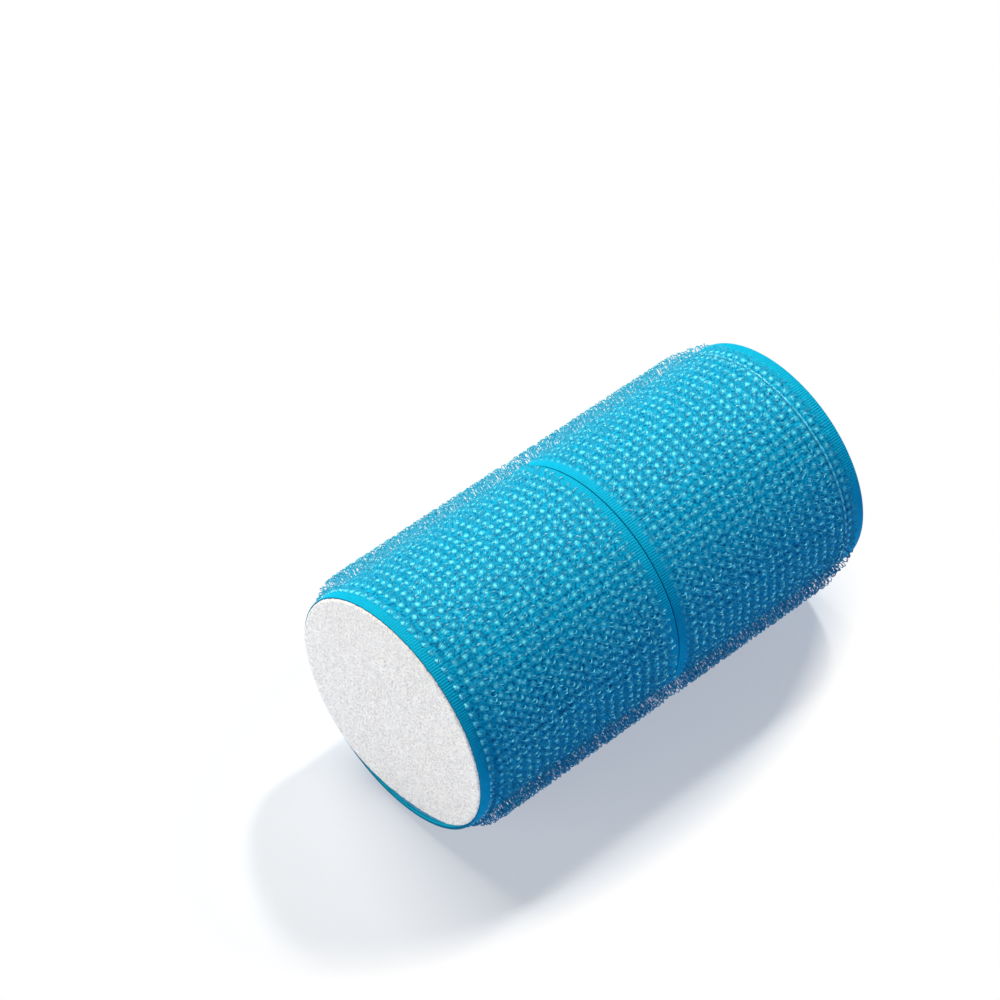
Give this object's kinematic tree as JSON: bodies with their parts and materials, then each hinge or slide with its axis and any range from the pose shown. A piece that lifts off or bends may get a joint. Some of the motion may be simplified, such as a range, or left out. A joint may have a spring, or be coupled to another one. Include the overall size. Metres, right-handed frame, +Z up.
{
  "type": "hair roller",
  "caption": "Self-grip hair roller: a solid white foam cylinder wrapped in blue woven hook-tape bands that hold the hair by themselves.",
  "frame": {"origin": "middle of the footprint, on the surface that the roller lies on", "axes": "+X along the roller's axis towards the rear band, +Z up, +Y to the side where the bands close"},
  "size_m": [0.1016, 0.0557, 0.0552],
  "materials": {
    "foam": "open-cell sponge, matt white",
    "glue": "clear film of glue",
    "weave": "tightly woven blue nylon with fine ribs",
    "filament": "clear blue nylon filament",
    "thread": "pale clear nylon thread"
  },
  "bodies": {
    "root": {"foam_core": "foam", "front_adhesive_film": "glue", "rear_adhesive_film": "glue", "front_tape_ground": "weave", "rear_tape_ground": "weave", "front_hook_pile": "filament", "rear_hook_pile": "filament", "front_edge_stitch": "thread", "rear_edge_stitch": "thread"}
  },
  "joints": []
}
